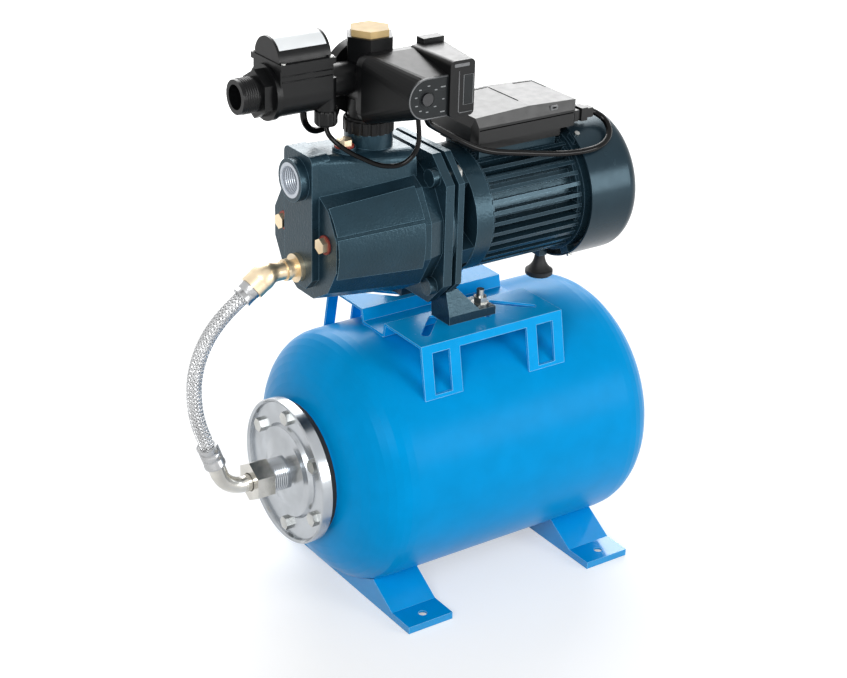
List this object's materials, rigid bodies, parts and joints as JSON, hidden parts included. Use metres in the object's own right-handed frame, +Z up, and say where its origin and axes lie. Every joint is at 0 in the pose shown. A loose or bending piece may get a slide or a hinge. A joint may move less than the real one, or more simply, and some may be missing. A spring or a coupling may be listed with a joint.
{
  "type": "booster pump set",
  "caption": "Self-priming jet pump with finned motor, pressure control and flow sensor on a horizontal pressure tank, joined to it by a braided hose.",
  "frame": {"origin": "on the floor, in the middle of the object's box, measured without the hose and the leads", "axes": "+X runs along the tank and the pump shaft from the suction side to the fan, +Z up, +Y away from the control's front panel"},
  "size_m": [0.5412, 0.2698, 0.6094],
  "materials": {
    "tank_blue": "glossy azure paint",
    "bladder_rubber": "black rubber",
    "galvanised": "bright zinc plating",
    "zinc_bolts": "zinc-plated steel",
    "plated_fittings": "nickel plating",
    "braid": "steel braid",
    "brass": "bare brass",
    "cast_paint": "dark blue-grey paint",
    "motor_paint": "dark blue-grey paint",
    "cover_paint": "dark blue-grey paint",
    "red_washer": "red fibre",
    "gasket_rubber": "black rubber",
    "water_plastic": "glass-filled plastic",
    "stainless": "stainless steel",
    "shaft_steel": "ground steel",
    "ceramic": "ceramic",
    "seal_carbon": "carbon and rubber",
    "lamination": "stacked sheet steel",
    "winding": "varnished copper wire",
    "control_plastic": "fine-grained black plastic",
    "box_plastic": "fine-grained black plastic",
    "fan_plastic": "black plastic",
    "foot_rubber": "black rubber",
    "panel_grey": "plain dark grey",
    "button_plastic": "dark grey plastic",
    "white_plastic": "white plastic",
    "lead_sheath": "black cable sheath"
  },
  "bodies": {
    "base": {"tank_shell": "tank_blue", "tank_foot_front": "tank_blue", "tank_foot_rear": "tank_blue", "pump_platform": "tank_blue", "tank_bladder": "bladder_rubber", "tank_flange": "galvanised", "tank_flange_bolts": "zinc_bolts", "air_valve_body": "brass", "air_valve_cap": "control_plastic", "hose_swivel_nut": "plated_fittings", "hose_lower_elbow": "plated_fittings", "hose_ferrules": "stainless", "braided_hose": "braid", "hose_upper_elbow": "brass", "pump_casing": "cast_paint", "casing_plugs": "brass", "plug_washers": "red_washer", "ejector_nozzle": "brass", "diffuser": "water_plastic", "seal_seat": "ceramic", "motor_bracket": "cast_paint", "joint_gasket": "gasket_rubber", "joint_bolts": "zinc_bolts", "front_bearing": "shaft_steel", "rear_bearing": "shaft_steel", "stator_core": "lamination", "stator_winding": "winding", "motor_housing": "motor_paint", "rear_shield": "motor_paint", "tie_rods": "motor_paint", "fan_cover": "cover_paint", "fan_cover_screws": "zinc_bolts", "motor_foot": "foot_rubber", "pump_foot_bolts": "zinc_bolts", "terminal_box": "box_plastic", "terminal_lid": "box_plastic", "capacitor": "white_plastic", "motor_gland": "box_plastic", "ring_nut": "control_plastic", "riser_body": "control_plastic", "top_plug": "brass", "control_housing": "control_plastic", "control_panel": "panel_grey", "sensor_body": "control_plastic", "sensor_cover": "control_plastic", "sensor_screws": "zinc_bolts", "sensor_gland": "control_plastic", "motor_lead": "lead_sheath", "sensor_lead": "lead_sheath", "link_lead": "lead_sheath"},
    "rotor": {"motor_shaft": "shaft_steel", "rotor_core": "lamination", "impeller": "stainless", "impeller_nut": "stainless", "seal_head": "seal_carbon", "fan": "fan_plastic"},
    "flow_turbine": {"sensor_turbine": "white_plastic"},
    "check_disc": {"check_valve": "gasket_rubber"},
    "button": {"restart_button": "button_plastic"},
    "air_pin": {"air_valve_pin": "stainless"}
  },
  "joints": [
    {"name": "rotor_spin", "type": "hinge", "parent": "base", "child": "rotor", "pos_m": [0.04603, 0, 0.4004], "axis": [1, 0, 0], "continuous": true},
    {"name": "turbine_spin", "type": "hinge", "parent": "base", "child": "flow_turbine", "pos_m": [-0.15297, 0, 0.5564], "axis": [1, 0, 0], "continuous": true},
    {"name": "check_lift", "type": "slide", "parent": "base", "child": "check_disc", "axis": [0, 0, 1], "range_m": [0, 0.007], "stiffness_N_per_m": 60},
    {"name": "button_press", "type": "slide", "parent": "base", "child": "button", "axis": [0, 1, 0], "range_m": [0, 0.002], "stiffness_N_per_m": 400},
    {"name": "air_pin_press", "type": "slide", "parent": "base", "child": "air_pin", "axis": [-1, 0, 0], "range_m": [0, 0.0015], "stiffness_N_per_m": 400}
  ]
}
